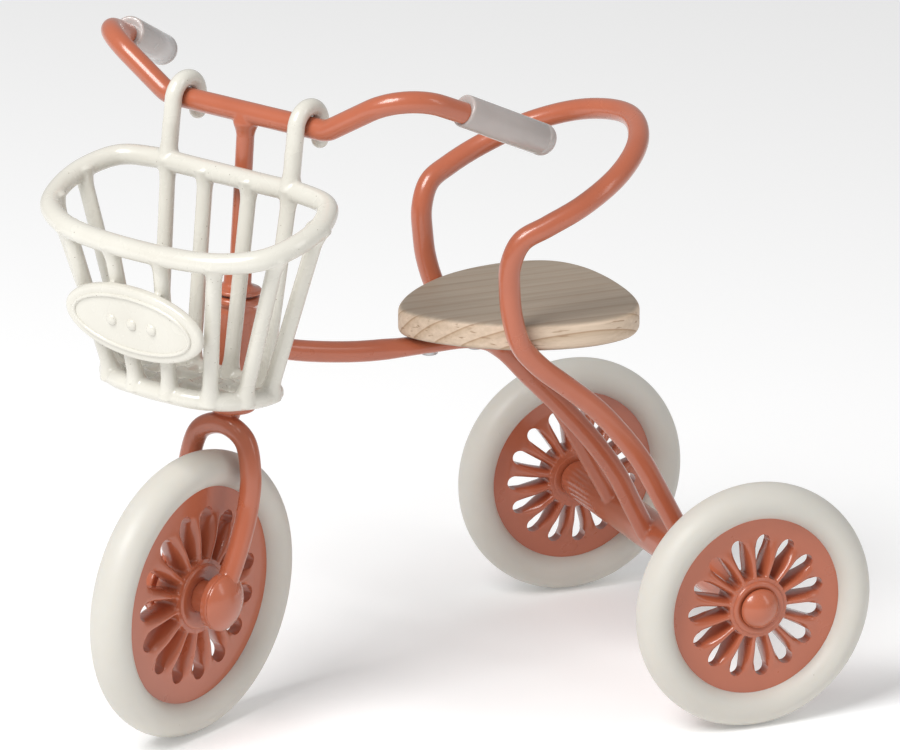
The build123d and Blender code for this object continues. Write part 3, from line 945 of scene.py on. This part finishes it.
def basket_skin():
    rim_side = [(3.4, 6.0), (3.5, 13.2), (4.8, 17.9), (9.0, 20.2), (14.0, 20.2), (18.6, 18.2)]
    rim_side += [(21.6, 13.4), (22.9, 6.6)]
    floor_side = [(4.8, 4.2), (4.8, 9.3), (6.0, 11.8), (9.8, 12.2), (14.2, 10.4), (16.7, 6.8), (17.4, 2.4)]
    parts = [tube("rim_part", basket_loop(rim_side, rim_height), RIM_R * MM, closed=True)]
    parts.append(tube("ring_part", basket_loop(floor_side, lambda x: FLOOR_HIGH), 1.3 * MM, closed=True))
    for low, high in basket_bars():
        parts.append(flared_bar(low, high, BAR_R - 0.05, 0.75))
    for way in (1, -1):
        parts.append(tube("hook_part", hook_path(way), HOOK_R * MM))
        foot = steer_point(3.2, way * HOOK_Y, RIM_HIGH)
        upper = steer_point(3.1, way * HOOK_Y, RIM_HIGH + 5)
        parts.append(flared_bar(foot, upper, HOOK_R - 0.05, 0.7, False))
    parts += basket_floor_parts()
    parts += badge_parts()
    fuse("cast_basket", parts, 0.17, 5, "basket",
         ["basket_rim", "basket_floor_ring", "basket_floor_lattice", "basket_hooks", "basket_front_bars",
          "basket_side_bars", "basket_back_bars", "basket_badge"], CREAM)


def badge_frame():
    lean = Vector((22.9 - 17.3, 0, rim_height(22.9) - FLOOR_HIGH)).normalized()
    outward = Vector((lean.z, 0, -lean.x))
    centre = Vector((20.2, 0, 42.3)) + outward * 1.3
    direction = AHEAD * outward.x + UP * outward.z
    return axes_matrix(steer_point(*centre), SIDE, direction)


def badge_border():
    """Plain raised oval line and three studs on the plate's face."""
    place = millimetres(badge_frame())
    steps = 72
    line = []
    for k in range(steps):
        angle = 2 * pi * k / steps
        along = BADGE_LINE[0] * cos(angle)
        upward = BADGE_LINE[1] * sin(angle)
        line.append(place @ Vector((along, upward, BADGE_THICK)))
    border = tube("badge_border", line, BADGE_LINE_R * MM, closed=True, sides=12)
    finish(border, "basket", [], CREAM)
    stud = [(0.01, -0.3), (0.85, -0.3), (0.85, 0.0), (0.75, 0.2), (0.5, 0.36), (0.01, 0.42)]
    for number, x in enumerate((-STUD_GAP, 0.0, STUD_GAP), start=1):
        spot = millimetres(badge_frame() @ Matrix.Translation((x * MM, 0, BADGE_THICK * MM)))
        finish(lathe("badge_stud_%d" % number, stud, spot, 32), "basket", [], CREAM)


def badge_parts():
    """Oval plate with rounded edges, turned round and then stretched."""
    place = millimetres(badge_frame())
    stretch = Matrix.Diagonal((BADGE_HALF[0] / BADGE_HALF[1], 1, 1, 1))
    plate = [(0.01, 0.0), (4.9, 0.0)] + arc_profile(4.95, 0.45, 0.45, -90, 0, 5)
    plate += arc_profile(4.95, 1.0, 0.45, 0, 90, 5) + [(0.01, BADGE_THICK)]
    return [lathe("plate_part", plate, place @ stretch, 96)]


# ---- stage, light and camera ----
def floor():
    mesh = bpy.data.meshes.new("floor")
    half = 6.0
    corners = [(-half, -half, 0), (half, -half, 0), (half, half, 0), (-half, half, 0)]
    mesh.from_pydata(corners, [], [(0, 1, 2, 3)])
    obj = new_object("floor", mesh)
    material, _, shader, _ = new_material("floor_pale")
    shader.inputs["Base Color"].default_value = (0.94, 0.94, 0.94, 1)
    shader.inputs["Emission Color"].default_value = (1.0, 1.0, 1.0, 1)
    shader.inputs["Emission Strength"].default_value = FLOOR_GLOW
    shader.inputs["Roughness"].default_value = 0.9
    mesh.materials.append(material)


def area_light(name, place, target, size, power):
    data = bpy.data.lights.new(name, "AREA")
    data.shape = "RECTANGLE"
    data.size = size[0]
    data.size_y = size[1]
    data.energy = power
    lamp = bpy.data.objects.new(name, data)
    bpy.context.scene.collection.objects.link(lamp)
    lamp.location = place
    lamp.rotation_euler = (target - place).to_track_quat("-Z", "Y").to_euler()


def lights():
    world = bpy.data.worlds.new("studio")
    world.use_nodes = True
    background = world.node_tree.nodes["Background"]
    background.inputs["Color"].default_value = (1.0, 1.0, 1.0, 1)
    background.inputs["Strength"].default_value = WORLD_STRENGTH
    bpy.context.scene.world = world
    bpy.context.scene.view_settings.view_transform = "Standard"
    middle = Vector((0, 0, 0.04))
    area_light("key", middle + Vector((0.5, 0.25, 0.62)), middle, (0.4, 0.4), KEY_POWER)
    area_light("strip", middle + Vector((-0.45, 0.5, 0.35)), middle, (0.12, 0.5), STRIP_POWER)


def camera():
    yaw = radians(CAMERA_YAW)
    pitch = radians(CAMERA_PITCH)
    look = Vector((cos(pitch) * cos(yaw), cos(pitch) * sin(yaw), sin(pitch)))
    data = bpy.data.cameras.new("camera")
    data.sensor_width = 36.0
    data.lens = CAMERA_LENS
    data.clip_start = 0.01
    obj = bpy.data.objects.new("camera", data)
    bpy.context.scene.collection.objects.link(obj)
    obj.location = rear_point(*CAMERA_PLACE)
    obj.rotation_euler = look.to_track_quat("-Z", "Y").to_euler()
    bpy.context.scene.camera = obj


dress_cad_nodes()
frame_skin()
seat_board()
rear_wheels()
front_wheel()
steering_skin()
ferrule()
fork_skin()
grips()
basket_skin()
badge_border()
floor()
lights()
camera()
